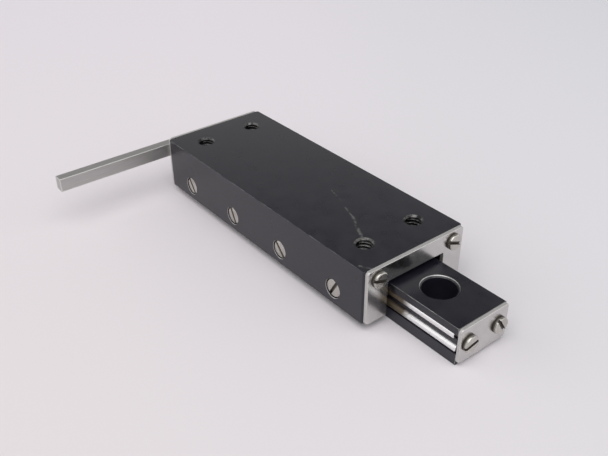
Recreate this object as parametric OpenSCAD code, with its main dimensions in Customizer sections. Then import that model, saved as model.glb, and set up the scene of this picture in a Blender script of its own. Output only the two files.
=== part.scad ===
// Linear ball slide stage: a carriage that rides on a fixed base rail.
// X is the travel, Y is across, Z is up. The origin is the middle of the base's underside.
// Left is the -Y side, where the preload screws are, and front is the +X end.

/* [Base rail] */
// Length of the base rail
base_length = 70.9; // [68:0.1:76]
// Width of the base rail
base_width = 13.1; // [13.1:0.05:13.2]
// Height of the base rail
base_height = 8.6; // [8.4:0.1:8.9]
// Distance between the two mounting holes
base_hole_spacing = 49.3; // [46:0.1:50]
// Bore of each mounting hole, which clears a 4.2 mm screw
base_hole_d = 4.5; // [4.3:0.1:4.8]
// Diameter of the counterbore for a cap screw's head
counterbore_d = 7.9; // [7:0.1:8]
// Depth of the counterbore
counterbore_depth = 4.5; // [3:0.1:5]

/* [Carriage housing] */
// Length of the carriage housing
housing_length = 70.9; // [68:0.1:76]
// Width of the carriage housing
housing_width = 26.8; // [26:0.1:28]
// Height of the carriage housing
housing_height = 12.4; // [12.3:0.1:13]
// Radius of the housing's four upright edges
housing_corner_r = 0.5; // [0.3:0.1:0.8]
// Gap between the housing's underside and the surface that the base stands on
floor_gap = 1.7; // [1.4:0.1:1.8]
// Width of the channel that runs over the base rail
channel_width = 15.6; // [15.55:0.01:15.65]
// Height of the channel above the housing's underside
channel_height = 8.3; // [8.3:0.1:8.8]

/* [Tapped holes on top] */
// Distance between the hole pairs along the travel
tapped_pitch_x = 57.15; // [50:0.05:58]
// Distance between the two holes of a pair
tapped_pitch_y = 13.5; // [12:0.05:14]
// Distance of the front pair from the housing's front face
tapped_front_inset = 7.2; // [6:0.1:8]
// Bore inside the thread
tapped_d = 3.4; // [3:0.1:3.6]
// Diameter of the countersink at the mouth
tapped_mouth_d = 4.9; // [4.4:0.1:5.2]

/* [Travel] */
// Full travel of the carriage, half to each side of the middle
travel = 38.1; // [20:0.1:38.1]
// How far the carriage stands behind the middle of its travel at rest
rest_offset = 17.9; // [0:0.1:18]

/* [Rods and balls] */
// Diameter of a hardened rod
rod_d = 1.588; // [1.5:0.001:1.6]
// Diameter of a ball
ball_d = 2.38; // [2.3:0.01:2.4]
// Free play between a ball and the four rods round it
ball_play = 0.03; // [0.02:0.01:0.05]
// Distance of each row of balls from the middle of the stage
ball_line_y = 7.17; // [7.15:0.01:7.2]
// Height of the rows of balls
ball_line_z = 4.75; // [4.65:0.05:4.8]
// Number of balls on each side
ball_count = 12; // [8:1:12]
// Thickness of a ball retainer strip
retainer_t = 0.6; // [0.4:0.05:0.7]
// Height of a ball retainer strip
retainer_height = 4.8; // [4:0.1:5]

/* [End plates] */
// Thickness of the carriage's end plates
carriage_plate_t = 0.8; // [0.7:0.05:1.2]
// Width of the carriage's end plates
carriage_plate_width = 26.2; // [25.6:0.1:26.4]
// Width of the opening in the carriage's end plates
plate_opening_width = 15.2; // [14.8:0.1:15.4]
// Height of that opening above the plate's lower edge
plate_opening_height = 8.1; // [7.8:0.1:8.3]
// Thickness of the base's end plates
base_plate_t = 0.75; // [0.6:0.05:1]
// Height of the base's end plates
base_plate_height = 7.9; // [7.2:0.1:8]
// Corner radius of the end plates
plate_corner_r = 0.7; // [0.3:0.1:1.2]

/* [End screws] */
// Distance between the two screws of a carriage end plate
carriage_screw_pitch = 20.4; // [19.6:0.1:21]
// Height of the carriage's front screws above the surface
carriage_screw_z = 11.6; // [11.4:0.05:11.7]
// Distance between the two screws of a base end plate
base_screw_pitch = 8.2; // [7:0.1:8.2]
// Height of the base's end screws above the surface
base_screw_z = 4.75; // [4.65:0.05:4.85]
// Diameter of an end screw's head
head_d = 3.6; // [3.2:0.1:4]
// Height of an end screw's head
head_height = 0.9; // [0.8:0.1:1.4]
// Thread diameter of an end screw
thread_d = 2.18; // [2:0.02:2.2]

/* [Preload screws] */
// Number of preload screws along the left side
preload_count = 4; // [4:1:4]
// Distance from one preload screw to the next
preload_pitch = 17.6; // [16:0.1:18]
// Distance of the front preload screw from the housing's front face
preload_front_inset = 8.8; // [8.5:0.1:9.4]
// Height of the preload screws above the surface
preload_z = 5.2; // [5.0:0.05:5.2]
// Thread diameter of a preload screw
preload_d = 4.17; // [4:0.01:4.2]
// How far a preload screw's outer end lies below the housing's side
preload_recess = 0.15; // [0.05:0.05:0.4]

/* [Rear arm] */
// How far the arm stands out past the housing's left side
arm_reach = 28.3; // [20:0.1:40]
// Thickness of the arm along the travel
arm_t = 2.4; // [2:0.1:3]
// Height of the arm's section
arm_height = 3.3; // [3:0.1:3.4]
// Height of the arm's middle, and of the two screws that hold it, above the surface
arm_z = 10.9; // [10.8:0.05:11.2]

/* [Hidden] */
$fn = 64;

cut = 1;
edge_break = 0.25;
screw_fit = 0.02;
rod_fit = 0.006;
rod_end_play = 0.05;
left = -1;
right = 1;

base_front = base_length / 2;
carriage_x = -rest_offset;
carriage_front = carriage_x + housing_length / 2;
carriage_rear = carriage_x - housing_length / 2;
housing_top = floor_gap + housing_height;
channel_top = floor_gap + channel_height;

// Each ball touches four rods, which stand at the corners of a square round it.
rod_step = (ball_d / 2 + rod_d / 2 + ball_play) / sqrt(2);
base_rod_y = ball_line_y - rod_step;
carriage_rod_y = ball_line_y + rod_step;
rod_upper_z = ball_line_z + rod_step;
rod_lower_z = ball_line_z - rod_step;
seat_r = rod_d / 2 + rod_fit;

// The retainers run at half the carriage's speed. Their end balls reach the end plates just
// past the ends of the travel.
retainer_x = carriage_x / 2;
ball_row_stop_play = 0.35;
ball_row_length = housing_length - travel / 2 - 2 * ball_row_stop_play - ball_d;
ball_pitch = ball_row_length / (ball_count - 1);
retainer_length = ball_row_length + ball_d + 1.6;
ball_pocket_play = 0.04;

tapped_front_x = carriage_front - tapped_front_inset;
countersink_depth = (tapped_mouth_d - tapped_d) / 2;
preload_front_x = carriage_front - preload_front_inset;
preload_tip_y = carriage_rod_y + rod_d / 2;
preload_length = housing_width / 2 - preload_recess - preload_tip_y;
preload_slot_angles = [124, 116, 133, 60];

end_thread_depth = 5;
slot_width = 0.65;
slot_depth = 0.5;
arm_screw_side_end = 13.0;

anodised_black = [0.11, 0.11, 0.13];
plate_steel = [0.72, 0.71, 0.70];
rod_steel = [0.86, 0.86, 0.87];
screw_steel = [0.66, 0.64, 0.60];
retainer_brass = [0.78, 0.64, 0.33];

// Extrudes a Y-Z outline along X.
module along_x(x_start, length) {
    translate([x_start, 0, 0]) rotate([90, 0, 90]) linear_extrude(length) children();
}

// A rectangle with its corners cut off, standing on its lower edge.
module chamfered_rect(width, height, chamfer) {
    half = width / 2;
    polygon([
        [-half + chamfer, 0], [half - chamfer, 0], [half, chamfer], [half, height - chamfer],
        [half - chamfer, height], [-half + chamfer, height], [-half, height - chamfer],
        [-half, chamfer]
    ]);
}

// A rectangle with round corners, standing on its lower edge.
module rounded_rect(width, height, radius) {
    translate([-width / 2 + radius, 0]) square([width - 2 * radius, height]);
    translate([-width / 2, radius]) square([width, height - 2 * radius]);
    for (y = [-width / 2 + radius, width / 2 - radius], z = [radius, height - radius])
        translate([y, z]) circle(radius);
}

// The seats of one side's pair of rods. The slot opens from the rods' middle towards the balls.
module rod_seats(side, rod_y, open_y) {
    slot_start = min(rod_y, open_y);
    slot_z = rod_lower_z - seat_r;
    mirror([side < 0 ? 1 : 0, 0]) {
        translate([slot_start, slot_z])
            square([abs(open_y - rod_y), rod_upper_z - rod_lower_z + 2 * seat_r]);
        for (z = [rod_lower_z, rod_upper_z]) translate([rod_y, z]) circle(seat_r);
    }
}

// A slotted screw with its head's underside at the origin and its thread along -Z.
module slotted_screw(thread_length, slot_angle) {
    edge = 0.3;
    difference() {
        union() {
            rotate_extrude() {
                square([head_d / 2 - edge, head_height]);
                square([head_d / 2, head_height - edge]);
                translate([head_d / 2 - edge, head_height - edge]) circle(edge);
            }
            translate([0, 0, -thread_length]) cylinder(d = thread_d, h = thread_length + 0.1);
        }
        rotate([0, 0, slot_angle])
            translate([-slot_width / 2, -head_d, head_height - slot_depth])
                cube([slot_width, 2 * head_d, slot_depth + cut]);
    }
}

// Two end screws in the front (+1) or rear (-1) face at x.
module end_screw_pair(end, x, pitch, z, thread_length, slot_angles) {
    for (i = [0, 1])
        translate([x, (i - 0.5) * pitch, z])
            rotate([0, end * 90, 0]) slotted_screw(thread_length, slot_angles[i]);
}

// The holes for two end screws, from the face at x inwards.
module end_screw_holes(end, x, pitch, z, depth, diameter) {
    for (y = [-pitch / 2, pitch / 2])
        translate([x + end * cut, y, z])
            rotate([0, -end * 90, 0]) cylinder(d = diameter, h = depth + cut);
}

// A hardened rod along X with broken ends.
module rod(x_middle, length, side, y, z) {
    bevel = 0.2;
    r = rod_d / 2;
    color(rod_steel)
        translate([x_middle - length / 2, side * y, z])
            rotate([0, 90, 0]) rotate_extrude()
                polygon([
                    [0, 0], [r - bevel, 0], [r, bevel],
                    [r, length - bevel], [r - bevel, length], [0, length]
                ]);
}

module base_rod(side, z) {
    rod(0, base_length - 2 * rod_end_play, side, base_rod_y, z);
}

module carriage_rod(side, z) {
    rod(carriage_x, housing_length - 2 * rod_end_play, side, carriage_rod_y, z);
}

module base_rail() {
    color(anodised_black) difference() {
        along_x(-base_length / 2, base_length) difference() {
            chamfered_rect(base_width, base_height, edge_break);
            for (side = [left, right]) rod_seats(side, base_rod_y, base_width / 2 + cut);
        }
        for (x = [-base_hole_spacing / 2, base_hole_spacing / 2]) translate([x, 0, 0]) {
            translate([0, 0, -cut]) cylinder(d = base_hole_d, h = base_height + 2 * cut);
            translate([0, 0, base_height - counterbore_depth])
                cylinder(d = counterbore_d, h = counterbore_depth + cut);
            translate([0, 0, base_height - edge_break])
                cylinder(d1 = counterbore_d, d2 = counterbore_d + 2 * edge_break, h = edge_break);
        }
        for (end = [-1, 1])
            end_screw_holes(end, end * base_front, base_screw_pitch, base_screw_z,
                end_thread_depth + 0.3, thread_d + 2 * screw_fit);
    }
}

// A base end plate, which covers the ends of the base rods and stops the balls.
module base_end_plate(end) {
    x = end > 0 ? base_front : -base_front - base_plate_t;
    color(plate_steel) difference() {
        along_x(x, base_plate_t)
            translate([0, base_height - base_plate_height])
                rounded_rect(base_width, base_plate_height, plate_corner_r);
        end_screw_holes(1, x + base_plate_t, base_screw_pitch, base_screw_z,
            base_plate_t + cut, thread_d + 0.3);
    }
}

module base_end_screws(end, slot_angles) {
    color(screw_steel)
        end_screw_pair(end, end * (base_front + base_plate_t), base_screw_pitch, base_screw_z,
            base_plate_t + end_thread_depth, slot_angles);
}

module carriage_housing() {
    color(anodised_black) difference() {
        intersection() {
            along_x(carriage_rear, housing_length) difference() {
                translate([0, floor_gap])
                    chamfered_rect(housing_width, housing_height, edge_break);
                translate([-channel_width / 2, floor_gap - cut])
                    square([channel_width, channel_height + cut]);
                for (side = [left, right])
                    rod_seats(side, carriage_rod_y, channel_width / 2 - 0.5);
            }
            translate([carriage_x, -housing_width / 2]) linear_extrude(housing_top + cut)
                rounded_rect(housing_length, housing_width, housing_corner_r);
        }
        for (x = [tapped_front_x, tapped_front_x - tapped_pitch_x], side = [left, right])
            translate([x, side * tapped_pitch_y / 2, 0]) {
                translate([0, 0, channel_top]) cylinder(d = tapped_d, h = housing_height);
                translate([0, 0, housing_top - countersink_depth])
                    cylinder(d1 = tapped_d, d2 = tapped_mouth_d + 2, h = countersink_depth + 1);
            }
        for (i = [0 : preload_count - 1])
            translate([preload_front_x - i * preload_pitch, -carriage_rod_y, preload_z])
                rotate([90, 0, 0])
                    cylinder(d = preload_d + 2 * screw_fit, h = housing_width / 2);
        end_screw_holes(1, carriage_front, carriage_screw_pitch, carriage_screw_z,
            end_thread_depth + 0.3, thread_d + 2 * screw_fit);
        end_screw_holes(-1, carriage_rear, carriage_screw_pitch, arm_z,
            end_thread_depth + 0.3, thread_d + 2 * screw_fit);
    }
}

// A carriage end plate, open below for the base rail. It covers the ends of the carriage rods.
module carriage_end_plate(x, screw_z) {
    color(plate_steel) difference() {
        along_x(x, carriage_plate_t) translate([0, floor_gap]) difference() {
            rounded_rect(carriage_plate_width, housing_height, plate_corner_r);
            translate([-plate_opening_width / 2, -cut])
                square([plate_opening_width, plate_opening_height + cut]);
        }
        end_screw_holes(1, x + carriage_plate_t, carriage_screw_pitch, screw_z,
            carriage_plate_t + cut, thread_d + 0.3);
    }
}

module carriage_front_screws() {
    color(screw_steel)
        end_screw_pair(1, carriage_front + carriage_plate_t, carriage_screw_pitch,
            carriage_screw_z, carriage_plate_t + end_thread_depth, [-5, -22]);
}

module carriage_rear_screws() {
    color(screw_steel)
        end_screw_pair(-1, carriage_rear - carriage_plate_t - arm_t, carriage_screw_pitch,
            arm_z, arm_t + carriage_plate_t + end_thread_depth, [35, 70]);
}

// The arm lies across the rear end plate, under the same two screws.
module rear_arm() {
    arm_rear = carriage_rear - carriage_plate_t - arm_t;
    arm_left_end = -housing_width / 2 - arm_reach;
    arm_edge = 0.15;
    color(plate_steel) difference() {
        translate([arm_rear + arm_t / 2, arm_screw_side_end, arm_z - arm_height / 2])
            rotate([90, 0, 0]) linear_extrude(arm_screw_side_end - arm_left_end)
                chamfered_rect(arm_t, arm_height, arm_edge);
        end_screw_holes(1, arm_rear + arm_t, carriage_screw_pitch, arm_z,
            arm_t + cut, thread_d + 0.3);
    }
}

// A preload screw. Its flat inner end bears on both rods of the left carriage pair.
module preload_screw(index) {
    bevel = 0.25;
    r = preload_d / 2;
    tip_r = 1.88;
    color(screw_steel)
        translate([preload_front_x - (preload_count - index) * preload_pitch,
                -preload_tip_y, preload_z])
            rotate([90, 0, 0]) difference() {
                rotate_extrude() polygon([
                    [0, 0], [tip_r, 0], [r, bevel],
                    [r, preload_length - bevel], [r - bevel, preload_length], [0, preload_length]
                ]);
                rotate([0, 0, preload_slot_angles[index - 1]])
                    translate([-preload_d, -slot_width / 2, preload_length - 0.8])
                        cube([2 * preload_d, slot_width, 0.8 + cut]);
            }
}

// A strip with a pocket for each ball, in the gap between the base rods and the carriage rods.
module ball_retainer(side) {
    color(retainer_brass) difference() {
        translate([retainer_x, side * ball_line_y + retainer_t / 2,
                ball_line_z - retainer_height / 2])
            rotate([90, 0, 0]) linear_extrude(retainer_t)
                rounded_rect(retainer_length, retainer_height, 0.8);
        ball_row(side)
            rotate([90, 0, 0])
                cylinder(d = ball_d + 2 * ball_pocket_play, h = 2, center = true);
    }
}

// Places its child at the middle of each ball of one side.
module ball_row(side) {
    for (i = [0 : ball_count - 1])
        translate([retainer_x - ball_row_length / 2 + i * ball_pitch, side * ball_line_y,
                ball_line_z]) children();
}

module balls(side) {
    color(rod_steel) ball_row(side) sphere(d = ball_d);
}

base_rail();
base_end_plate(1);  // base_front_plate
base_end_plate(-1);  // base_rear_plate
base_end_screws(1, [12, -40]);  // base_front_screws
base_end_screws(-1, [15, 80]);  // base_rear_screws
base_rod(left, rod_upper_z);  // base_rod_left_upper
base_rod(left, rod_lower_z);  // base_rod_left_lower
base_rod(right, rod_upper_z);  // base_rod_right_upper
base_rod(right, rod_lower_z);  // base_rod_right_lower
carriage_housing();
carriage_end_plate(carriage_front, carriage_screw_z);  // carriage_front_plate
carriage_end_plate(carriage_rear - carriage_plate_t, arm_z);  // carriage_rear_plate
carriage_front_screws();
carriage_rear_screws();
rear_arm();
carriage_rod(left, rod_upper_z);  // carriage_rod_left_upper
carriage_rod(left, rod_lower_z);  // carriage_rod_left_lower
carriage_rod(right, rod_upper_z);  // carriage_rod_right_upper
carriage_rod(right, rod_lower_z);  // carriage_rod_right_lower
preload_screw(1);  // preload_screw_1
preload_screw(2);  // preload_screw_2
preload_screw(3);  // preload_screw_3
preload_screw(4);  // preload_screw_4
ball_retainer(left);  // left_ball_retainer
ball_retainer(right);  // right_ball_retainer
balls(left);  // left_balls
balls(right);  // right_balls
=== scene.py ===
"""The looks of a small ball slide stage: a black carriage that runs on a rail, with steel end plates."""
import math

import bmesh
import bpy
from mathutils import Matrix, Vector


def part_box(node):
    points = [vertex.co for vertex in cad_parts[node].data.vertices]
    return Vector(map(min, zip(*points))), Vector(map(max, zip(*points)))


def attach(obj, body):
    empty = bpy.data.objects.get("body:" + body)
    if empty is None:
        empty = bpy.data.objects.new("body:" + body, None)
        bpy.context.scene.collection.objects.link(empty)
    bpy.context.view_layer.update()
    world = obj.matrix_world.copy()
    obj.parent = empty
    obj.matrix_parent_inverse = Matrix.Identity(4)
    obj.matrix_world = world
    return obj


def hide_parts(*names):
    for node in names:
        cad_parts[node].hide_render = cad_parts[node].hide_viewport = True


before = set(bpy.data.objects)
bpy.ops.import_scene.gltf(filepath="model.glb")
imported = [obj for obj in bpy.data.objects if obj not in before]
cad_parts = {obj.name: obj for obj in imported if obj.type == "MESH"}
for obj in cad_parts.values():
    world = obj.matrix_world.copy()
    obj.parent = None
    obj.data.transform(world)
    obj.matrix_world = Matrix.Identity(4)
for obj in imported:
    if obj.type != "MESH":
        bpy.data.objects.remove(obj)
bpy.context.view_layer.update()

# Pieces are modelled in millimetres and put down in metres. BARE and WORN are places in a piece's
# list of finishes.
MM = 0.001
FRONT = 1
REAR = -1
BARE = 1
WORN = 2
LEFT = -1
RIGHT = 1

# Housing and rail
housing_corner_r = 0.5
housing_edge_r = 0.14
rail_edge_r = 0.16
channel_width = 15.6
channel_height = 8.3
seat_play = 0.006
seat_slot_inset = 0.02

# Holes
tapped_front_inset = 7.2
tapped_pitch_x = 57.15
tapped_pitch_y = 13.5
tapped_bore = 3.4
thread_major_d = 4.17
thread_pitch = 0.794
tapped_mouth_d = 4.2
thread_lip = 0.06
base_hole_spacing = 49.3
base_hole_d = 4.5
counterbore_d = 7.1
counterbore_depth = 5.6
counterbore_mouth_d = 7.9
counterbore_rim = 0.14
underside_chamfer = 0.3
end_hole_depth = 5.3
end_hole_play = 0.02
preload_hole_depth = 4.6
preload_hole_play = 0.03

# Plates
plate_corner_r = 0.7
plate_small_corner_r = 0.3
plate_rim_r = 0.2
plate_inner_rim_r = 0.06
carriage_plate_t = 0.8
rail_plate_t = 0.75
plate_opening_width = 15.2
plate_opening_height = 8.1

# Screws
head_d = 3.6
head_height = 0.9
head_round = 0.34
end_thread_d = 2.18
end_thread_depth = 5.0
slot_width = 0.65
slot_depth = 0.5
carriage_screw_pitch = 20.4
front_screw_z = 11.6
rear_screw_z = 10.9
base_screw_pitch = 8.2
base_screw_z = 4.75
preload_d = 4.17
preload_z = 5.2
preload_mouth_d = 4.4
preload_pitch = 17.6
preload_front_inset = 8.8
preload_slot_depth = 0.8
arm_head_d = 3.0
arm_slot_width = 0.5
arm_slot_depth = 0.3

# Rods and balls
rod_d = 1.588
rod_bevel = 0.2
rail_rod_length = 69.7
rail_rod_gaps = {"left_upper": 1.15, "left_lower": 0.4, "right_upper": 0.6, "right_lower": 0.6}
ball_d = 2.38
ball_count = 12
ball_line_y = 7.17
ball_line_z = 4.75
ball_row_length = 48.77
retainer_x = -8.95


# ---------------------------------------------------------------- mesh helpers

def node_box(node):
    low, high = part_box(node)
    return Vector(low) / MM, Vector(high) / MM


def block(low, high):
    low = Vector(low)
    high = Vector(high)
    bm = bmesh.new()
    bmesh.ops.create_cube(bm, size=1.0)
    bmesh.ops.scale(bm, vec=high - low, verts=bm.verts)
    bmesh.ops.translate(bm, vec=(low + high) / 2, verts=bm.verts)
    return bm


def round_edges(bm, edges, radius, segments):
    bmesh.ops.bevel(bm, geom=edges, offset=radius, offset_type="OFFSET", affect="EDGES",
                    segments=segments, profile=0.5, material=-1, clamp_overlap=True)


def edges_along(bm, axis):
    found = []
    for edge in bm.edges:
        span = edge.verts[0].co - edge.verts[1].co
        others = [abs(span[i]) for i in range(3) if i != axis]
        if max(others) < 1e-5 and abs(span[axis]) > 1e-4:
            found.append(edge)
    return found


def edges_in_plane(bm, axis, value):
    return [e for e in bm.edges if all(abs(v.co[axis] - value) < 1e-4 for v in e.verts)]


def turned(profile, origin, axis, steps=48, spin_marks=False):
    """Turns (radius, height) points round an axis that runs from origin."""
    bm = bmesh.new()
    verts = [bm.verts.new((radius, 0.0, height)) for radius, height in profile]
    edges = [bm.edges.new(pair) for pair in zip(verts, verts[1:])]
    bmesh.ops.spin(bm, geom=verts + edges, cent=(0, 0, 0), axis=(0, 0, 1), dvec=(0, 0, 0),
                   angle=math.tau, steps=steps, use_merge=True)
    bmesh.ops.remove_doubles(bm, verts=bm.verts, dist=1e-5)
    bmesh.ops.recalc_face_normals(bm, faces=bm.faces)
    if spin_marks:
        mark_turning(bm)
    turn = Vector((0, 0, 1)).rotation_difference(Vector(axis)).to_matrix().to_4x4()
    bmesh.ops.transform(bm, matrix=Matrix.Translation(origin) @ turn, verts=bm.verts)
    return bm


def mark_turning(bm):
    """Stores each corner's distance from the turning axis and its height as UV."""
    layer = bm.loops.layers.uv.verify()
    for face in bm.faces:
        for loop in face.loops:
            spot = loop.vert.co
            loop[layer].uv = (spot.xy.length, spot.z)


def add_object(name, bm):
    mesh = bpy.data.meshes.new(name)
    bm.to_mesh(mesh)
    bm.free()
    obj = bpy.data.objects.new(name, mesh)
    bpy.context.scene.collection.objects.link(obj)
    return obj


def carve(bm, cutters):
    """Takes the cutters away from the shape and gives the result as a new bmesh."""
    target = add_object("carved", bm)
    tools = [add_object("cutter", cutter) for cutter in cutters]
    for tool in tools:
        modifier = target.modifiers.new("cut", "BOOLEAN")
        modifier.operation = "DIFFERENCE"
        modifier.solver = "EXACT"
        modifier.object = tool
    graph = bpy.context.evaluated_depsgraph_get()
    result = bmesh.new()
    result.from_object(target, graph)
    for obj in [target] + tools:
        mesh = obj.data
        bpy.data.objects.remove(obj)
        bpy.data.meshes.remove(mesh)
    bmesh.ops.remove_doubles(result, verts=result.verts, dist=1e-5)
    return result


def join(bm, extras):
    for extra in extras:
        mesh = bpy.data.meshes.new("join")
        extra.to_mesh(mesh)
        extra.free()
        bm.from_mesh(mesh)
        bpy.data.meshes.remove(mesh)
    return bm


def place(name, bm, body, nodes, material, sharp=32):
    """Puts a finished shape in the scene, in metres, on its body and in its node's place."""
    bmesh.ops.triangulate(bm, faces=[face for face in bm.faces if len(face.verts) > 4])
    bmesh.ops.scale(bm, vec=(MM, MM, MM), verts=bm.verts)
    obj = add_object(name, bm)
    obj.data.shade_smooth()
    obj.data.set_sharp_from_angle(angle=math.radians(sharp))
    weighted = obj.modifiers.new("face weighted", "WEIGHTED_NORMAL")
    weighted.keep_sharp = True
    for finish in material if isinstance(material, list) else [material]:
        obj.data.materials.append(finish)
    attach(obj, body)
    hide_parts(*nodes)
    return obj


# ---------------------------------------------------------------- node helpers

def fill(tree, node, sockets):
    """Links each input to the socket given for it, or sets it to the value given."""
    for name, value in sockets.items():
        if isinstance(value, bpy.types.NodeSocket):
            tree.links.new(value, node.inputs[name])
        else:
            node.inputs[name].default_value = value


def add(tree, kind, sockets, **settings):
    node = tree.nodes.new(kind)
    for name, value in settings.items():
        setattr(node, name, value)
    fill(tree, node, sockets)
    return node


def calc(tree, operation, *values):
    node = add(tree, "ShaderNodeMath", dict(enumerate(values)), operation=operation)
    return node.outputs[0]


def vector_calc(tree, operation, first, second, output=0):
    return add(tree, "ShaderNodeVectorMath", {0: first, 1: second}, operation=operation).outputs[output]


def split(tree, vector):
    return add(tree, "ShaderNodeSeparateXYZ", {0: vector}).outputs


def remap(tree, value, low, high, new_low=0.0, new_high=1.0, smooth=False):
    node = add(tree, "ShaderNodeMapRange", {"Value": value, "From Min": low, "From Max": high,
                                            "To Min": new_low, "To Max": new_high},
               interpolation_type="SMOOTHSTEP" if smooth else "LINEAR")
    return node.outputs["Result"]


def blend_colour(tree, factor, first, second):
    node = tree.nodes.new("ShaderNodeMix")
    node.data_type = "RGBA"
    fill(tree, node, {0: factor, 6: first, 7: second})
    return node.outputs[2]


def noise(tree, position, scale, detail=3.0, roughness=0.5):
    node = add(tree, "ShaderNodeTexNoise", {"Vector": position, "Scale": scale, "Detail": detail,
                                            "Roughness": roughness})
    return node.outputs["Fac"]


def new_group(name, inputs, outputs):
    tree = bpy.data.node_groups.new(name, "ShaderNodeTree")
    for label, kind, value in inputs:
        socket = tree.interface.new_socket(label, in_out="INPUT", socket_type=kind)
        socket.default_value = value
    for label, kind in outputs:
        tree.interface.new_socket(label, in_out="OUTPUT", socket_type=kind)
    start = tree.nodes.new("NodeGroupInput")
    end = tree.nodes.new("NodeGroupOutput")
    return tree, start.outputs, end.inputs


FLOAT = "NodeSocketFloat"
VECTOR = "NodeSocketVector"


def edge_wear_group():
    """A mask along the edges of a box, broken up so that the wear comes and goes."""
    tree, given, result = new_group(
        "edge_wear",
        [("Position", VECTOR, (0, 0, 0)), ("Middle", VECTOR, (0, 0, 0)), ("Half Size", VECTOR, (1, 1, 1)),
         ("Reach", FLOAT, 0.0002), ("Patchiness", FLOAT, 0.5)],
        [("Mask", FLOAT)])
    offset = vector_calc(tree, "SUBTRACT", given["Position"], given["Middle"])
    size = add(tree, "ShaderNodeVectorMath", {0: offset}, operation="ABSOLUTE").outputs[0]
    x, y, z = split(tree, vector_calc(tree, "SUBTRACT", given["Half Size"], size))
    lower = calc(tree, "MINIMUM", x, y)
    upper = calc(tree, "MAXIMUM", x, y)
    middle = calc(tree, "MAXIMUM", lower, calc(tree, "MINIMUM", upper, z))
    ragged = noise(tree, given["Position"], 2600.0, 4.0, 0.65)
    coarse = noise(tree, given["Position"], 330.0, 3.0, 0.6)
    swing = calc(tree, "MULTIPLY", calc(tree, "SUBTRACT", ragged, 0.5), 0.9)
    patches = calc(tree, "MULTIPLY", calc(tree, "SUBTRACT", coarse, 0.5), given["Patchiness"])
    shift = calc(tree, "ADD", calc(tree, "ADD", 1.0, swing), calc(tree, "MULTIPLY", patches, 4.0))
    edge = calc(tree, "MULTIPLY", given["Reach"], shift)
    worn = calc(tree, "DIVIDE", calc(tree, "SUBTRACT", edge, middle), given["Reach"])
    tree.links.new(remap(tree, worn, -0.1, 0.35), result["Mask"])
    return tree


def grain_group():
    """Fine unevenness of a finish, stretched along one direction where it was rolled or drawn."""
    tree, given, result = new_group(
        "grain",
        [("Position", VECTOR, (0, 0, 0)), ("Stretch", VECTOR, (1, 1, 1)), ("Scale", FLOAT, 4000.0)],
        [("Fine", FLOAT), ("Broad", FLOAT)])
    pulled = vector_calc(tree, "MULTIPLY", given["Position"], given["Stretch"])
    fine = noise(tree, pulled, given["Scale"], 3.0, 0.6)
    broad = noise(tree, given["Position"], calc(tree, "MULTIPLY", given["Scale"], 0.06), 3.0, 0.55)
    tree.links.new(fine, result["Fine"])
    tree.links.new(broad, result["Broad"])
    return tree


def scratch_group():
    """Thin, short scratches that lie in one rough direction and show only in places."""
    tree, given, result = new_group(
        "scratches",
        [("Position", VECTOR, (0, 0, 0)), ("Turn", VECTOR, (0, 0, 0)), ("Scale", FLOAT, 300.0),
         ("Amount", FLOAT, 0.5)],
        [("Mask", FLOAT)])
    spot = add(tree, "ShaderNodeVectorRotate", {"Vector": given["Position"], "Rotation": given["Turn"]},
               rotation_type="EULER_XYZ").outputs[0]
    pulled = vector_calc(tree, "MULTIPLY", spot, (1.0, 14.0, 14.0))
    lines = noise(tree, pulled, given["Scale"], 1.0, 0.4)
    near = calc(tree, "ABSOLUTE", calc(tree, "SUBTRACT", lines, 0.5))
    thin = remap(tree, near, 0.006, 0.0, 0.0, 1.0)
    field = noise(tree, given["Position"], calc(tree, "MULTIPLY", given["Scale"], 0.7), 2.0, 0.5)
    start = calc(tree, "SUBTRACT", 0.72, calc(tree, "MULTIPLY", given["Amount"], 0.3))
    places = remap(tree, field, start, 0.75)
    tree.links.new(calc(tree, "MULTIPLY", thin, places), result["Mask"])
    return tree


def scuff_group():
    """A broken scrape along the line between two points, widest and palest in its middle."""
    tree, given, result = new_group(
        "scuff",
        [("Position", VECTOR, (0, 0, 0)), ("From", VECTOR, (0, 0, 0)), ("To", VECTOR, (1, 0, 0)),
         ("Half Width", FLOAT, 0.0002)],
        [("Mask", FLOAT)])
    run = vector_calc(tree, "SUBTRACT", given["To"], given["From"])
    away = vector_calc(tree, "SUBTRACT", given["Position"], given["From"])
    along = vector_calc(tree, "DOT_PRODUCT", away, run, "Value")
    whole = vector_calc(tree, "DOT_PRODUCT", run, run, "Value")
    share = remap(tree, calc(tree, "DIVIDE", along, whole), 0.0, 1.0)
    nearest = add(tree, "ShaderNodeVectorMath", {0: run, "Scale": share}, operation="SCALE").outputs[0]
    gap = vector_calc(tree, "DISTANCE", away, nearest, "Value")
    ragged = noise(tree, given["Position"], 2400.0, 3.0, 0.6)
    broken = noise(tree, given["Position"], 700.0, 2.0, 0.5)
    near = remap(tree, calc(tree, "DIVIDE", gap, given["Half Width"]), 1.0, 0.2)
    flecks = remap(tree, calc(tree, "ADD", ragged, calc(tree, "MULTIPLY", near, 0.2)), 0.48, 0.66)
    shown = calc(tree, "MULTIPLY", near, calc(tree, "MULTIPLY", flecks, remap(tree, broken, 0.38, 0.55)))
    tree.links.new(shown, result["Mask"])
    return tree


edge_wear = edge_wear_group()
grain = grain_group()
scratches = scratch_group()
scuff = scuff_group()


def use_group(tree, group, sockets):
    node = tree.nodes.new("ShaderNodeGroup")
    node.node_tree = group
    fill(tree, node, sockets)
    return node.outputs


def new_material(name):
    material = bpy.data.materials.new(name)
    material.use_nodes = True
    tree = material.node_tree
    shader = tree.nodes["Principled BSDF"]
    position = tree.nodes.new("ShaderNodeTexCoord").outputs["Object"]
    return material, tree, shader, position


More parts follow.
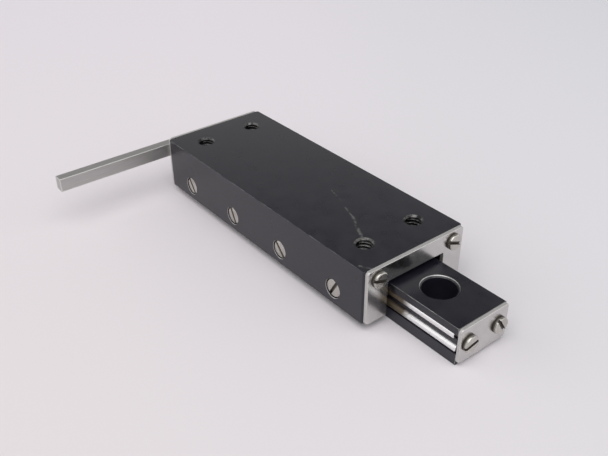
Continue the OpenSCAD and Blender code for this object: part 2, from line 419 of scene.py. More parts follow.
def bump(tree, height, strength, distance, normal=None):
    sockets = {"Height": height, "Strength": strength, "Distance": distance}
    if normal is not None:
        sockets["Normal"] = normal
    return add(tree, "ShaderNodeBump", sockets).outputs["Normal"]


def set_metal(tree, shader, finish, colour, smoothest, roughest):
    """Makes a shader bare metal of a colour, with a roughness that drifts between two values."""
    tree.links.new(colour, shader.inputs["Base Color"])
    shader.inputs["Metallic"].default_value = 1.0
    roughness = remap(tree, finish["Broad"], 0.3, 0.7, smoothest, roughest)
    tree.links.new(roughness, shader.inputs["Roughness"])


# ---------------------------------------------------------------- materials

# The painted dark reflection on the rods, brown and just ahead of the carriage's front plate, in metres
# along the travel.
dark_reflection_from = 0.0155
dark_reflection_to = 0.0232

# Scrapes on the carriage's top, each from a point to a point with its half width, in millimetres.
top_scuffs = [((-2.1, -0.8), (1.5, -2.0), 0.3), ((1.5, -2.0), (6.2, -4.6), 0.5),
              ((6.2, -4.6), (8.2, -5.6), 0.55), ((-9.5, 1.6), (-5.0, 0.4), 0.16),
              ((15.4, -12.6), (17.6, -11.4), 0.4)]


def black_anodised(name, node, wear_reach, wear_patches, wear_and_highlight_level, scuffs=()):
    """Satin black anodised aluminium, bare and bright where its edges have rubbed; set high, the bare
    edges also stand in for a painted edge highlight.
    """
    material, tree, shader, position = new_material(name)
    low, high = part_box(node)
    worn = use_group(tree, edge_wear, {"Position": position, "Middle": (low + high) / 2,
                                       "Half Size": (high - low) / 2, "Reach": wear_reach,
                                       "Patchiness": wear_patches})["Mask"]
    finish = use_group(tree, grain, {"Position": position, "Stretch": (0.35, 1.0, 1.0), "Scale": 5200.0})
    marks = use_group(tree, scratches, {"Position": position, "Turn": (0.0, 0.0, 0.5), "Scale": 240.0,
                                        "Amount": 0.35})["Mask"]
    marks = calc(tree, "MULTIPLY", marks, 0.35)
    for start, end, half_width in scuffs:
        ends = [Vector((spot[0] * MM, spot[1] * MM, high.z)) for spot in (start, end)]
        scrape = use_group(tree, scuff, {"Position": position, "From": ends[0], "To": ends[1],
                                         "Half Width": half_width * MM})["Mask"]
        marks = calc(tree, "MAXIMUM", marks, calc(tree, "MULTIPLY", scrape, 0.6))
    tone = remap(tree, finish["Broad"], 0.3, 0.7)
    dye = blend_colour(tree, tone, (0.0085, 0.0083, 0.0145, 1), (0.0135, 0.013, 0.0195, 1))
    scuffed = blend_colour(tree, marks, dye, (0.16, 0.155, 0.15, 1))
    # Bare edges: real wear, and where the level is set high also a painted edge highlight.
    bare = blend_colour(tree, calc(tree, "MULTIPLY", worn, wear_and_highlight_level), scuffed, (0.42, 0.41, 0.40, 1))
    tree.links.new(bare, shader.inputs["Base Color"])
    tree.links.new(calc(tree, "MULTIPLY", worn, wear_and_highlight_level), shader.inputs["Metallic"])
    gloss = remap(tree, finish["Broad"], 0.3, 0.7, 0.27, 0.36)
    tree.links.new(gloss, shader.inputs["Roughness"])
    shader.inputs["IOR"].default_value = 1.55
    tree.links.new(bump(tree, finish["Fine"], 0.22, 0.00002), shader.inputs["Normal"])
    return material


def bare_aluminium(name):
    """A chamfer cut after anodising, so that its metal shows, with fine turning marks; the bright bare
    metal is also a painted highlight, so that the far rims glint.
    """
    material, tree, shader, position = new_material(name)
    finish = use_group(tree, grain, {"Position": position, "Stretch": (1.0, 1.0, 1.0), "Scale": 9000.0})
    colour = blend_colour(tree, finish["Fine"], (0.32, 0.315, 0.31, 1), (0.48, 0.47, 0.46, 1))
    set_metal(tree, shader, finish, colour, 0.32, 0.42)
    tree.links.new(bump(tree, finish["Fine"], 0.3, 0.000012), shader.inputs["Normal"])
    return material


def rubbed_black(name):
    """Anodising rubbed thin in the mouths and on the threads of the tapped holes."""
    material, tree, shader, position = new_material(name)
    finish = use_group(tree, grain, {"Position": position, "Stretch": (1.0, 1.0, 1.0), "Scale": 7000.0})
    patches = noise(tree, position, 900.0, 2.0, 0.5)
    colour = blend_colour(tree, remap(tree, patches, 0.4, 0.6), (0.03, 0.029, 0.031, 1),
                          (0.14, 0.136, 0.132, 1))
    set_metal(tree, shader, finish, colour, 0.3, 0.4)
    tree.links.new(bump(tree, finish["Fine"], 0.3, 0.00002), shader.inputs["Normal"])
    return material


def bright_sheet(name):
    """Rolled stainless sheet: faint rolling lines, handling marks and a slight waviness."""
    material, tree, shader, position = new_material(name)
    finish = use_group(tree, grain, {"Position": position, "Stretch": (1.0, 0.04, 1.0), "Scale": 9000.0})
    marks = use_group(tree, scratches, {"Position": position, "Turn": (0.6, 0.0, 0.0), "Scale": 420.0,
                                        "Amount": 0.7})["Mask"]
    tone = remap(tree, finish["Broad"], 0.3, 0.7)
    tree.links.new(blend_colour(tree, tone, (0.59, 0.575, 0.565, 1), (0.65, 0.635, 0.62, 1)),
                   shader.inputs["Base Color"])
    shader.inputs["Metallic"].default_value = 1.0
    smear = remap(tree, finish["Broad"], 0.3, 0.7, 0.2, 0.25)
    roughness = calc(tree, "ADD", smear, calc(tree, "MULTIPLY", marks, 0.05))
    tree.links.new(roughness, shader.inputs["Roughness"])
    waves = bump(tree, noise(tree, position, 110.0, 1.0, 0.4), 1.0, 0.00006)
    tree.links.new(bump(tree, finish["Fine"], 0.12, 0.000006, waves), shader.inputs["Normal"])
    return material


def sheared_edge(name):
    """The cut edge of the sheet: dull, with fine tearing across its thickness."""
    material, tree, shader, position = new_material(name)
    finish = use_group(tree, grain, {"Position": position, "Stretch": (0.15, 1.0, 1.0), "Scale": 9000.0})
    colour = blend_colour(tree, finish["Fine"], (0.52, 0.51, 0.50, 1), (0.68, 0.67, 0.66, 1))
    set_metal(tree, shader, finish, colour, 0.62, 0.7)
    tree.links.new(bump(tree, finish["Fine"], 0.3, 0.00002), shader.inputs["Normal"])
    return material


def ground_steel(name):
    """Hardened rod, ground and polished, with a band of painted dark brownish reflection of the carriage's
    front plate just ahead of it.
    """
    material, tree, shader, position = new_material(name)
    finish = use_group(tree, grain, {"Position": position, "Stretch": (1.0, 0.12, 0.12), "Scale": 14000.0})
    tone = remap(tree, finish["Broad"], 0.3, 0.7)
    clean = blend_colour(tree, tone, (0.87, 0.865, 0.87, 1), (0.92, 0.915, 0.92, 1))
    along = split(tree, position)[0]
    swing = calc(tree, "MULTIPLY", calc(tree, "SUBTRACT", finish["Broad"], 0.5), 0.002)
    ragged = calc(tree, "ADD", along, swing)
    # Painted reflection: a band along X where the rods are made dark brown, less metallic and rougher.
    dark_reflection_band = calc(tree, "MULTIPLY", remap(tree, ragged, dark_reflection_from - 0.001, dark_reflection_from),
                  remap(tree, ragged, dark_reflection_to, dark_reflection_to - 0.002))
    tree.links.new(blend_colour(tree, dark_reflection_band, clean, (0.13, 0.105, 0.075, 1)), shader.inputs["Base Color"])
    tree.links.new(remap(tree, dark_reflection_band, 0.0, 1.0, 1.0, 0.6), shader.inputs["Metallic"])
    tree.links.new(calc(tree, "ADD", remap(tree, finish["Broad"], 0.3, 0.7, 0.3, 0.34),
                        calc(tree, "MULTIPLY", dark_reflection_band, 0.1)), shader.inputs["Roughness"])
    tree.links.new(bump(tree, finish["Fine"], 0.06, 0.000004), shader.inputs["Normal"])
    return material


def ball_steel(name):
    """Lapped bearing balls, close to a mirror."""
    material, tree, shader, position = new_material(name)
    finish = use_group(tree, grain, {"Position": position, "Stretch": (1.0, 1.0, 1.0), "Scale": 9000.0})
    tone = remap(tree, finish["Broad"], 0.3, 0.7)
    colour = blend_colour(tree, tone, (0.79, 0.79, 0.81, 1), (0.85, 0.85, 0.86, 1))
    set_metal(tree, shader, finish, colour, 0.06, 0.12)
    return material


def turned_steel(name, shade_below, shade_colour):
    """Turned stainless screws, with painted brownish shade low on their flanks, below a given height along
    the axis, and in their slots.

    U runs outwards from the turning axis and V along it, so the tool marks are rings.
    """
    material, tree, shader, position = new_material(name)
    uv = tree.nodes.new("ShaderNodeUVMap").outputs["UV"]
    rings = vector_calc(tree, "MULTIPLY", uv, (1.0, 1.0, 0.0))
    tool_marks = noise(tree, rings, 16.0, 2.0, 0.6)
    finish = use_group(tree, grain, {"Position": position, "Stretch": (1.0, 1.0, 1.0), "Scale": 6000.0})
    tone = remap(tree, finish["Broad"], 0.3, 0.7)
    clean = blend_colour(tree, tone, (0.46, 0.44, 0.405, 1), (0.60, 0.58, 0.54, 1))
    up = split(tree, uv)[1]
    ragged = calc(tree, "MULTIPLY", calc(tree, "SUBTRACT", finish["Broad"], 0.5), 0.3)
    # Painted shade: the slot faces carry no UV, so they read as height 0 and are shaded too.
    painted_shade = remap(tree, calc(tree, "ADD", up, ragged), shade_below, shade_below - 0.3)
    tree.links.new(blend_colour(tree, painted_shade, clean, shade_colour), shader.inputs["Base Color"])
    tree.links.new(remap(tree, painted_shade, 0.0, 1.0, 1.0, 0.55), shader.inputs["Metallic"])
    tree.links.new(calc(tree, "ADD", remap(tree, finish["Broad"], 0.3, 0.7, 0.2, 0.3),
                        calc(tree, "MULTIPLY", painted_shade, 0.2)), shader.inputs["Roughness"])
    height = calc(tree, "ADD", tool_marks, calc(tree, "MULTIPLY", finish["Fine"], 0.4))
    tree.links.new(bump(tree, height, 0.3, 0.00002), shader.inputs["Normal"])
    return material


def drawn_steel(name):
    """Drawn bar with fine lines along its length and rubbed, brighter corners."""
    material, tree, shader, position = new_material(name)
    low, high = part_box("rear_arm")
    finish = use_group(tree, grain, {"Position": position, "Stretch": (1.0, 0.03, 1.0), "Scale": 9000.0})
    worn = use_group(tree, edge_wear, {"Position": position, "Middle": (low + high) / 2,
                                       "Half Size": (high - low) / 2, "Reach": 0.00022,
                                       "Patchiness": 0.3})["Mask"]
    tone = remap(tree, finish["Fine"], 0.3, 0.7)
    body = blend_colour(tree, tone, (0.46, 0.45, 0.44, 1), (0.56, 0.55, 0.54, 1))
    set_metal(tree, shader, finish, blend_colour(tree, worn, body, (0.70, 0.69, 0.68, 1)), 0.42, 0.5)
    tree.links.new(bump(tree, finish["Fine"], 0.25, 0.000014), shader.inputs["Normal"])
    return material


def strip_brass(name):
    """Plain brass strip, lightly tarnished in patches."""
    material, tree, shader, position = new_material(name)
    finish = use_group(tree, grain, {"Position": position, "Stretch": (0.06, 1.0, 1.0), "Scale": 8000.0})
    tone = remap(tree, finish["Broad"], 0.35, 0.7)
    colour = blend_colour(tree, tone, (0.78, 0.62, 0.30, 1), (0.55, 0.40, 0.19, 1))
    set_metal(tree, shader, finish, colour, 0.24, 0.38)
    tree.links.new(bump(tree, finish["Fine"], 0.25, 0.000014), shader.inputs["Normal"])
    return material


housing_black = black_anodised("housing_black", "carriage_housing", 0.00006, 0.6, 0.4, top_scuffs)
# The rail's edge wear is set high, so that its bare edges are partly real wear and partly a painted
# highlight along its top edges.
rail_black = black_anodised("rail_black", "base_rail", 0.00008, 0.4, 0.75)
# Bare chamfer metal, partly a painted highlight: it makes the far rims of the holes glint.
bare_glint_rim = bare_aluminium("bare_glint_rim")
worn_thread = rubbed_black("worn_thread")
sheet_steel = bright_sheet("sheet_steel")
sheet_edge = sheared_edge("sheet_edge")
rod_steel = ground_steel("rod_steel")
bearing_steel = ball_steel("bearing_steel")
# The last colour is the painted shade on the screws' lower flanks and in their slots.
screw_steel = turned_steel("screw_steel", 0.6, (0.085, 0.075, 0.065, 1))
set_screw_steel = turned_steel("set_screw_steel", 3.6, (0.24, 0.215, 0.18, 1))
arm_screw_steel = turned_steel("arm_screw_steel", -0.1, (0.12, 0.11, 0.1, 1))
arm_steel = drawn_steel("arm_steel")
retainer_brass = strip_brass("retainer_brass")


# ---------------------------------------------------------------- pieces

def rod_axis(node):
    low, high = node_box(node)
    return (low.y + high.y) / 2, (low.z + high.z) / 2


def seat_cutters(body, side, low_x, high_x, open_y):
    """The two round seats of one side's rods, and the slot that opens them towards the balls."""
    name = "left" if side == LEFT else "right"
    seat_r = rod_d / 2 + seat_play
    upper_y, upper_z = rod_axis(f"{body}_rod_{name}_upper")
    _, lower_z = rod_axis(f"{body}_rod_{name}_lower")
    cutters = []
    for z in (upper_z, lower_z):
        outline = [(0, 0), (seat_r, 0), (seat_r, high_x - low_x), (0, high_x - low_x)]
        cutters.append(turned(outline, (low_x, upper_y, z), (1, 0, 0), 40))
    inner, outer = sorted((upper_y, open_y))
    cutters.append(block((low_x, inner, lower_z - seat_r + seat_slot_inset),
                          (high_x, outer, upper_z + seat_r - seat_slot_inset)))
    return cutters


def tapped_hole(start, depth):
    """A tapping drill from above. Its countersink ends in a lip over the first turn of the thread."""
    over = 1.0
    mouth_r = tapped_mouth_d / 2
    bore_r = tapped_bore / 2
    root_r = thread_major_d / 2
    cone = mouth_r - bore_r
    outline = [(0, depth), (root_r, depth), (root_r, cone + 0.3), (bore_r, cone + thread_lip),
               (bore_r, cone), (mouth_r, 0), (mouth_r + over, -over), (0, -over)]
    return turned(outline, start, (0, 0, -1), 48)


def mounting_hole(x, top):
    """A stepped drill for a whole mounting hole: underside chamfer, bore, counterbore and rimmed mouth."""
    over = 1.0
    bore_r = base_hole_d / 2
    below_r = bore_r + underside_chamfer
    wide_r = counterbore_d / 2
    mouth_r = counterbore_mouth_d / 2
    rim_r = mouth_r - counterbore_rim
    rim_z = top - counterbore_rim
    floor = top - counterbore_depth
    outline = [(0, -over), (below_r + over, -over), (below_r, 0), (bore_r, underside_chamfer),
               (bore_r, floor), (wide_r, floor), (wide_r, rim_z + wide_r - rim_r), (rim_r, rim_z),
               (mouth_r, top), (mouth_r + over, top + over), (0, top + over)]
    return turned(outline, (x, 0, 0), (0, 0, 1), 64)


def hole(radius, start, direction, depth, mouth_r=None):
    """A drill: a plain bore from start, with a cone at its mouth where mouth_r is given."""
    over = 1.0
    mouth_r = mouth_r or radius
    cone = mouth_r - radius
    outline = [(0, depth), (radius, depth), (radius, cone)]
    if cone > 0:
        outline.append((mouth_r, 0))
    outline.append((mouth_r + (over if cone > 0 else 0), -over))
    outline.append((0, -over))
    return turned(outline, start, direction, 48)


def end_holes(rear_x, front_x, pitch, rear_z, front_z):
    """Drills for the pair of screws at each end of the housing or rail."""
    radius = end_thread_d / 2 + end_hole_play
    drills = []
    for y in (-pitch / 2, pitch / 2):
        drills.append(hole(radius, (front_x, y, front_z), (REAR, 0, 0), end_hole_depth))
        drills.append(hole(radius, (rear_x, y, rear_z), (FRONT, 0, 0), end_hole_depth))
    return drills


def bare_the_rim(bm, centre, axis, inner_r, outer_r, depth, finish=BARE):
    """Gives the faces of a hole's chamfer, inside the surface at centre, another finish."""
    centre = Vector(centre)
    axis = Vector(axis)
    for face in bm.faces:
        away = face.calc_center_median() - centre
        below = -away.dot(axis)
        radius = (away + axis * below).length
        if inner_r < radius < outer_r and 0.004 < below < depth and abs(face.normal.dot(axis)) < 0.95:
            face.material_index = finish


def inner_thread(x, y, low_z, high_z):
    """The crests of a tapped hole, as one ridge wound up the bore."""
    bore_r = tapped_bore / 2
    root_r = thread_major_d / 2 + 0.05
    crest_half = thread_pitch / 12
    root_half = thread_pitch * 0.46
    turns = (high_z - low_z - 2 * root_half) / thread_pitch
    steps = int(turns * 40)
    bm = bmesh.new()
    z = low_z + root_half
    spots = [(root_r, z - root_half), (bore_r, z - crest_half), (bore_r, z + crest_half),
             (root_r, z + root_half)]
    verts = [bm.verts.new((x + r, y, height)) for r, height in spots]
    face = bm.faces.new(verts)
    geom = [face] + list(face.edges) + verts
    rise = turns * thread_pitch / steps
    bmesh.ops.spin(bm, geom=geom, cent=(x, y, 0), axis=(0, 0, 1), dvec=(0, 0, rise),
                   angle=math.tau * turns, steps=steps, use_merge=False)
    bmesh.ops.remove_doubles(bm, verts=bm.verts, dist=1e-5)
    bmesh.ops.recalc_face_normals(bm, faces=bm.faces)
    for face in bm.faces:
        face.material_index = WORN
    return bm


def housing_block(low, high):
    bm = block(low, high)
    round_edges(bm, edges_along(bm, 2), housing_corner_r, 5)
    rims = edges_in_plane(bm, 2, high.z) + edges_in_plane(bm, 2, low.z)
    round_edges(bm, rims, housing_edge_r, 3)
    return bm


def tapped_places(high):
    front_x = high.x - tapped_front_inset
    rows = (front_x, front_x - tapped_pitch_x)
    return [(x, side * tapped_pitch_y / 2, high.z) for x in rows for side in (LEFT, RIGHT)]


def make_housing():
    low, high = node_box("carriage_housing")
    ends = (low.x - 1, high.x + 1)
    channel_top = low.z + channel_height
    cone = (tapped_mouth_d - tapped_bore) / 2
    cutters = [block((ends[0], -channel_width / 2, low.z - 1), (ends[1], channel_width / 2, channel_top))]
    for side in (LEFT, RIGHT):
        cutters += seat_cutters("carriage", side, ends[0], ends[1], side * (channel_width / 2 - 0.5))
    cutters += [tapped_hole(mouth, high.z - channel_top + 1) for mouth in tapped_places(high)]
    for x in preload_places():
        cutters.append(hole(preload_d / 2 + preload_hole_play, (x, low.y, preload_z), (0, 1, 0),
                            preload_hole_depth, preload_mouth_d / 2))
    cutters += end_holes(low.x, high.x, carriage_screw_pitch, rear_screw_z, front_screw_z)
    bm = carve(housing_block(low, high), cutters)
    # The set screws' hole chamfers get the bare finish, which is also a painted highlight ring round them.
    for x in preload_places():
        bare_the_rim(bm, (x, low.y, preload_z), (0, -1, 0), preload_d / 2 + 0.04,
                     preload_mouth_d / 2, 0.3)
    for mouth in tapped_places(high):
        bare_the_rim(bm, mouth, (0, 0, 1), tapped_bore / 2, tapped_mouth_d / 2, 0.4, WORN)
    threads = [inner_thread(x, y, channel_top, z - cone - 0.2) for x, y, z in tapped_places(high)]
    return place("housing_body", join(bm, threads), "carriage", ["carriage_housing"],
                 [housing_black, bare_glint_rim, worn_thread])


def preload_places():
    high = node_box("carriage_housing")[1]
    return [high.x - preload_front_inset - i * preload_pitch for i in range(4)]


def make_rail():
    low, high = node_box("base_rail")
    bm = block(low, high)
    round_edges(bm, edges_along(bm, 0), rail_edge_r, 3)
    ends = (low.x - 1, high.x + 1)
    cutters = []
    for side in (LEFT, RIGHT):
        cutters += seat_cutters("base", side, ends[0], ends[1], side * (high.y + 1))
    for x in (-base_hole_spacing / 2, base_hole_spacing / 2):
        cutters.append(mounting_hole(x, high.z))
    cutters += end_holes(low.x, high.x, base_screw_pitch, base_screw_z, base_screw_z)
    bm = carve(bm, cutters)
    mouth_r = counterbore_mouth_d / 2
    # The counterbores' rims get the bare finish, which is also a painted highlight arc.
    for x in (-base_hole_spacing / 2, base_hole_spacing / 2):
        bare_the_rim(bm, (x, 0, high.z), (0, 0, 1), mouth_r - counterbore_rim, mouth_r, counterbore_rim)
    return place("rail_body", bm, "base", ["base_rail"], [rail_black, bare_glint_rim])


def sheet_piece(outline, corner_rs, low_x, high_x):
    """A flat sheet across X from its outline of (y, z) points, with round corners and a rolled rim."""
    bm = bmesh.new()
    verts = [bm.verts.new((low_x, y, z)) for y, z in outline]
    face = bm.faces.new(verts)
    for radius in sorted(set(corner_rs)):
        corners = [vert for vert, own in zip(verts, corner_rs) if own == radius and vert.is_valid]
        bmesh.ops.bevel(bm, geom=corners, offset=radius, offset_type="OFFSET", affect="VERTICES",
                        segments=6, profile=0.5, material=-1, clamp_overlap=True)
    sheet = bmesh.ops.extrude_face_region(bm, geom=list(bm.faces), use_keep_orig=True)
    moved = [item for item in sheet["geom"] if isinstance(item, bmesh.types.BMVert)]
    bmesh.ops.translate(bm, vec=(high_x - low_x, 0, 0), verts=moved)
    bmesh.ops.recalc_face_normals(bm, faces=bm.faces)
    outer, inner = (high_x, low_x) if low_x > 0 else (low_x, high_x)
    round_edges(bm, edges_in_plane(bm, 0, outer), plate_rim_r, 4)
    round_edges(bm, edges_in_plane(bm, 0, inner), plate_inner_rim_r, 2)
    for face in bm.faces:
        face.normal_update()
        face.material_index = BARE if abs(face.normal.x) < 0.35 else 0
    return bm


def make_carriage_plate(node, name):
    low, high = node_box(node)
    opening = plate_opening_width / 2
    lintel = low.z + plate_opening_height
    outline = [(low.y, low.z), (-opening, low.z), (-opening, lintel), (opening, lintel), (opening, low.z),
               (high.y, low.z), (high.y, high.z), (low.y, high.z)]
    corners = [plate_corner_r] + [plate_small_corner_r] * 4 + [plate_corner_r] * 3
    bm = sheet_piece(outline, corners, low.x, high.x)
    return place(name, bm, "carriage", [node], [sheet_steel, sheet_edge])


def make_base_plate(node, name):
    low, high = node_box(node)
    outline = [(low.y, low.z), (high.y, low.z), (high.y, high.z), (low.y, high.z)]
    bm = sheet_piece(outline, [plate_corner_r] * 4, low.x, high.x)
    return place(name, bm, "base", [node], [sheet_steel, sheet_edge])


def slot_cutter(origin, axis, along, floor, top, length, width=slot_width):
    """A saw cut across a screw, a little wider at its mouth."""
    flare = 0.05
    half = width / 2
    bm = bmesh.new()
    spots = [(-half, floor), (half, floor), (half, top - flare), (half + flare, top),
             (half + 0.35, top + 0.3), (-half - 0.35, top + 0.3), (-half - flare, top),
             (-half, top - flare)]
    verts = [bm.verts.new((x, -length / 2, z)) for x, z in spots]
    face = bm.faces.new(verts)
    swept = bmesh.ops.extrude_face_region(bm, geom=[face], use_keep_orig=True)
    moved = [item for item in swept["geom"] if isinstance(item, bmesh.types.BMVert)]
    bmesh.ops.translate(bm, vec=(0, length, 0), verts=moved)
    bmesh.ops.recalc_face_normals(bm, faces=bm.faces)
    up = Vector(axis).normalized()
    run = Vector(along).normalized()
    across = run.cross(up)
    turn = Matrix((across, run, up)).transposed().to_4x4()
    bmesh.ops.transform(bm, matrix=Matrix.Translation(origin) @ turn, verts=bm.verts)
    return bm


def end_screw(x, y, z, end, reach, slot_angle):
    """A slotted cheese-head screw that is driven along X."""
    head_r = head_d / 2
    shank_r = end_thread_d / 2
    outline = [(0, -reach), (shank_r - 0.3, -reach), (shank_r, -reach + 0.3), (shank_r, 0),
               (head_r - 0.1, 0), (head_r, 0.1), (head_r, head_height - head_round)]
    for step in (1, 2, 3, 4, 5):
        angle = step * math.pi / 12
        outline.append((head_r - head_round * (1 - math.cos(angle)),
                        head_height - head_round * (1 - math.sin(angle))))
    outline.append((head_r - head_round - 0.1, head_height))
    outline.append((0, head_height))
    bm = turned(outline, (x, y, z), (end, 0, 0), 48, spin_marks=True)
    angle = math.radians(slot_angle)
    along = (0, math.cos(angle), end * math.sin(angle))
    floor = head_height - slot_depth
    return carve(bm, [slot_cutter((x, y, z), (end, 0, 0), along, floor, head_height, 6)])


def make_end_screws(name, node, body, end, face_x, pitch, z, reach, slot_angles):
    screws = [end_screw(face_x, -pitch / 2, z, end, reach, slot_angles[0]),
              end_screw(face_x, pitch / 2, z, end, reach, slot_angles[1])]
    bm = join(screws[0], screws[1:])
    return place(name, bm, body, [node], screw_steel, 40)


def flush_screw(x, y, z, reach, slot_angle):
    """A slotted countersunk screw, flat with the arm's rear face."""
    head_r = arm_head_d / 2
    shank_r = end_thread_d / 2
    outline = [(0, -reach), (shank_r - 0.3, -reach), (shank_r, -reach + 0.3), (shank_r, shank_r - head_r),
               (head_r, -0.04), (head_r - 0.04, 0), (0, 0)]
    bm = turned(outline, (x, y, z), (REAR, 0, 0), 48, spin_marks=True)
    angle = math.radians(slot_angle)
    along = (0, math.cos(angle), -math.sin(angle))
    return carve(bm, [slot_cutter((x, y, z), (REAR, 0, 0), along, -arm_slot_depth, 0, 5, arm_slot_width)])


def make_arm_screws(face_x, reach):
    screws = [flush_screw(face_x, -carriage_screw_pitch / 2, rear_screw_z, reach, 35),
              flush_screw(face_x, carriage_screw_pitch / 2, rear_screw_z, reach, 70)]
    bm = join(screws[0], screws[1:])
    return place("rear_screw_pair", bm, "carriage", ["carriage_rear_screws"],
                 arm_screw_steel, 40)


def make_preload_screw(index, x, slot_angle):
    """A slotted set screw just below the housing's side, its flat tip on the rods."""
    node = f"preload_screw_{index}"
    low, high = node_box(node)
    length = high.y - low.y
    radius = preload_d / 2
    outline = [(0, 0), (1.88, 0), (radius, 0.25), (radius, length - 0.28), (radius - 0.06, length - 0.16),
               (radius - 0.17, length - 0.05), (radius - 0.32, length), (0, length)]
    bm = turned(outline, (x, high.y, preload_z), (0, -1, 0), 56, spin_marks=True)
    angle = math.radians(slot_angle)
    along = (math.cos(angle), 0, math.sin(angle))
    floor = length - preload_slot_depth
    bm = carve(bm, [slot_cutter((x, high.y, preload_z), (0, -1, 0), along, floor, length, 8)])
    return place(f"set_screw_{index}", bm, "carriage", [node], set_screw_steel, 40)


def make_arm():
    low, high = node_box("rear_arm")
    bm = block(low, high)
    round_edges(bm, edges_along(bm, 1), 0.16, 3)
    rims = edges_in_plane(bm, 1, low.y) + edges_in_plane(bm, 1, high.y)
    round_edges(bm, rims, 0.1, 2)
    cutters = []
    for y in (-carriage_screw_pitch / 2, carriage_screw_pitch / 2):
        cutters.append(hole(end_thread_d / 2 + 0.1, (low.x, y, rear_screw_z), (1, 0, 0), 4,
                            arm_head_d / 2 + 0.03))
    bm = carve(bm, cutters)
    return place("arm_bar", bm, "carriage", ["rear_arm"], arm_steel)


def make_rod(body, side_name, level):
    """A hardened rod. The rail's rods are a little short, and stand back from its front plate."""
    node = f"{body}_rod_{side_name}_{level}"
    low, high = node_box(node)
    y, z = rod_axis(node)
    length = high.x - low.x
    if body == "base":
        front = node_box("base_rail")[1].x - rail_rod_gaps[f"{side_name}_{level}"]
        length = rail_rod_length
        low.x = front - length
    radius = rod_d / 2
    outline = [(0, 0), (radius - rod_bevel, 0), (radius - 0.06, rod_bevel * 0.45), (radius, rod_bevel),
               (radius, length - rod_bevel), (radius - 0.06, length - rod_bevel * 0.45),
               (radius - rod_bevel, length), (0, length)]
    bm = turned(outline, (low.x, y, z), (1, 0, 0), 48, spin_marks=True)
    return place(f"{body}_bar_{side_name}_{level}", bm, body, [node], rod_steel)


def ball_places(side):
    pitch = ball_row_length / (ball_count - 1)
    start = retainer_x - ball_row_length / 2
    return [(start + i * pitch, side * ball_line_y, ball_line_z) for i in range(ball_count)]


def make_balls(side, side_name):
    bm = bmesh.new()
    for spot in ball_places(side):
        bmesh.ops.create_uvsphere(bm, u_segments=32, v_segments=20, radius=ball_d / 2,
                                  matrix=Matrix.Translation(spot))
    return place(f"{side_name}_ball_row", bm, f"{side_name}_retainer", [f"{side_name}_balls"],
                 bearing_steel, 60)


def make_retainer(side, side_name):
    node = f"{side_name}_ball_retainer"
    low, high = node_box(node)
    bm = block(low, high)
    round_edges(bm, edges_along(bm, 1), 0.8, 5)
    rims = edges_in_plane(bm, 1, low.y) + edges_in_plane(bm, 1, high.y)
    round_edges(bm, rims, 0.06, 2)
    pocket_r = ball_d / 2 + 0.04
    cutters = []
    for x, y, z in ball_places(side):
        outline = [(0, -1), (pocket_r, -1), (pocket_r, 1), (0, 1)]
        cutters.append(turned(outline, (x, y, z), (0, 1, 0), 32))
    return place(f"{side_name}_cage", carve(bm, cutters), f"{side_name}_retainer", [node],
                 retainer_brass)


def make_plates():
    make_carriage_plate("carriage_front_plate", "front_sheet")
    make_carriage_plate("carriage_rear_plate", "rear_sheet")
    make_base_plate("base_front_plate", "rail_front_sheet")
    make_base_plate("base_rear_plate", "rail_rear_sheet")


def make_screws():
    front_face = node_box("carriage_front_plate")[1].x
    rear_face = node_box("rear_arm")[0].x
    arm_t = node_box("carriage_rear_plate")[0].x - rear_face
    make_end_screws("front_screw_pair", "carriage_front_screws", "carriage", FRONT, front_face,
                    carriage_screw_pitch, front_screw_z, carriage_plate_t + end_thread_depth, (-18, -22))
    make_arm_screws(rear_face, arm_t + carriage_plate_t + end_thread_depth)
    rail_front = node_box("base_front_plate")[1].x
    rail_rear = node_box("base_rear_plate")[0].x
    make_end_screws("rail_front_screw_pair", "base_front_screws", "base", FRONT, rail_front,
                    base_screw_pitch, base_screw_z, rail_plate_t + end_thread_depth, (12, -58))
    make_end_screws("rail_rear_screw_pair", "base_rear_screws", "base", REAR, rail_rear,
                    base_screw_pitch, base_screw_z, rail_plate_t + end_thread_depth, (15, 80))
    places = preload_places()
    for index, angle in ((1, 124), (2, 116), (3, 133), (4, 60)):
        make_preload_screw(index, places[4 - index], angle)


def make_track():
    for body in ("base", "carriage"):
        for side_name in ("left", "right"):
            for level in ("upper", "lower"):
                make_rod(body, side_name, level)
    for side, side_name in ((LEFT, "left"), (RIGHT, "right")):
        make_retainer(side, side_name)
        make_balls(side, side_name)


def make_pieces():
    make_housing()
    make_rail()
    make_plates()
    make_screws()
    make_arm()
    make_track()


# ---------------------------------------------------------------- studio

def make_floor():
    bm = bmesh.new()
    bmesh.ops.create_grid(bm, x_segments=1, y_segments=1, size=3.0)
    obj = add_object("table", bm)
    material, tree, shader, position = new_material("table_white")
    # Painted light on the white table: paler away from the camera and cooler towards the right of the
    # view.
    far = vector_calc(tree, "DOT_PRODUCT", position, (-0.784, 0.621, 0.0), "Value")
    right = vector_calc(tree, "DOT_PRODUCT", position, (0.621, 0.784, 0.0), "Value")
    painted_far_light = blend_colour(tree, remap(tree, far, -0.05, 0.2), (0.775, 0.727, 0.748, 1),
                         (0.83, 0.785, 0.835, 1))
    painted_light_tint = blend_colour(tree, remap(tree, right, -0.05, 0.15), painted_far_light, (0.72, 0.725, 0.765, 1))
    tree.links.new(painted_light_tint, shader.inputs["Base Color"])
    shader.inputs["Roughness"].default_value = 0.6
    shader.inputs["Specular IOR Level"].default_value = 0.1
    obj.data.materials.append(material)


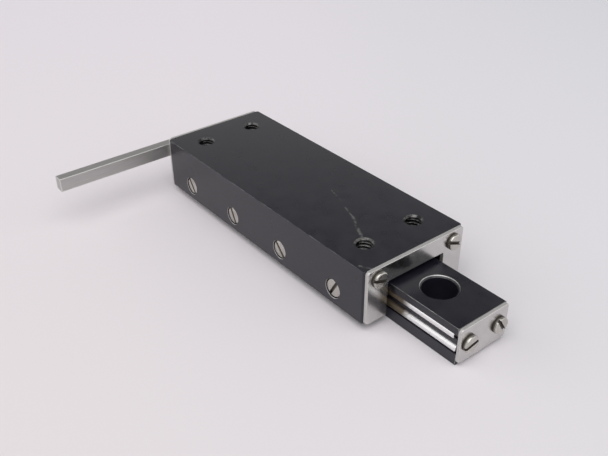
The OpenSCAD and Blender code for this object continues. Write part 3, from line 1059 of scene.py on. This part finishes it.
def soft_light(name, place_m, aim_m, size, power, colour=(1, 1, 1)):
    lamp = bpy.data.lights.new(name, "AREA")
    lamp.shape = "SQUARE"
    lamp.size = size
    lamp.energy = power
    lamp.color = colour
    obj = bpy.data.objects.new(name, lamp)
    obj.location = place_m
    direction = Vector(aim_m) - Vector(place_m)
    obj.rotation_euler = direction.to_track_quat("-Z", "Y").to_euler()
    bpy.context.scene.collection.objects.link(obj)


def make_studio():
    world = bpy.data.worlds.new("studio")
    world.use_nodes = True
    tree = world.node_tree
    background = tree.nodes["Background"]
    direction = tree.nodes.new("ShaderNodeTexCoord").outputs["Generated"]
    up = split(tree, direction)[2]
    walls = remap(tree, up, 0.3, 0.6, 0.78, 0.1)
    left = soft_window(tree, direction, (-0.66, -0.52, 0.55), 0.86, 0.97, 1.0)
    right = soft_window(tree, direction, (0.55, 0.58, 0.58), 0.88, 0.98, 0.7)
    strength = calc(tree, "ADD", walls, calc(tree, "ADD", left, right))
    tree.links.new(strength, background.inputs["Strength"])
    background.inputs["Color"].default_value = (1.0, 1.0, 1.0, 1)
    bpy.context.scene.world = world
    soft_light("ceiling", (0.4, -0.38, 1.15), (0, 0, 0), 1.6, 16.2)


def soft_window(tree, direction, centre, edge, core, level):
    """A round bright patch of the room's walls, soft at its rim."""
    aim = tuple(Vector(centre).normalized())
    facing = vector_calc(tree, "DOT_PRODUCT", direction, aim, "Value")
    return remap(tree, facing, edge, core, 0.0, level, smooth=True)


def make_camera():
    """Stands ahead of the stage, to its left and above, and looks down at 33 degrees."""
    yaw = math.radians(51.6169)
    pitch = math.radians(32.9423)
    roll = math.radians(-0.3818)
    camera = bpy.data.cameras.new("camera")
    camera.sensor_fit = "HORIZONTAL"
    camera.sensor_width = 36.0
    camera.lens = 46.111
    camera.clip_start = 0.005
    camera.clip_end = 20.0
    obj = bpy.data.objects.new("camera", camera)
    tilt = Matrix.Rotation(math.pi / 2 - pitch, 4, "X")
    turn = Matrix.Rotation(yaw, 4, "Z") @ tilt @ Matrix.Rotation(roll, 4, "Z")
    obj.matrix_world = Matrix.Translation(Vector((101.934, -94.362, 99.523)) * MM) @ turn
    bpy.context.scene.collection.objects.link(obj)
    bpy.context.scene.camera = obj


make_camera()
make_studio()
make_floor()
make_pieces()
bpy.context.scene.view_settings.view_transform = "Standard"
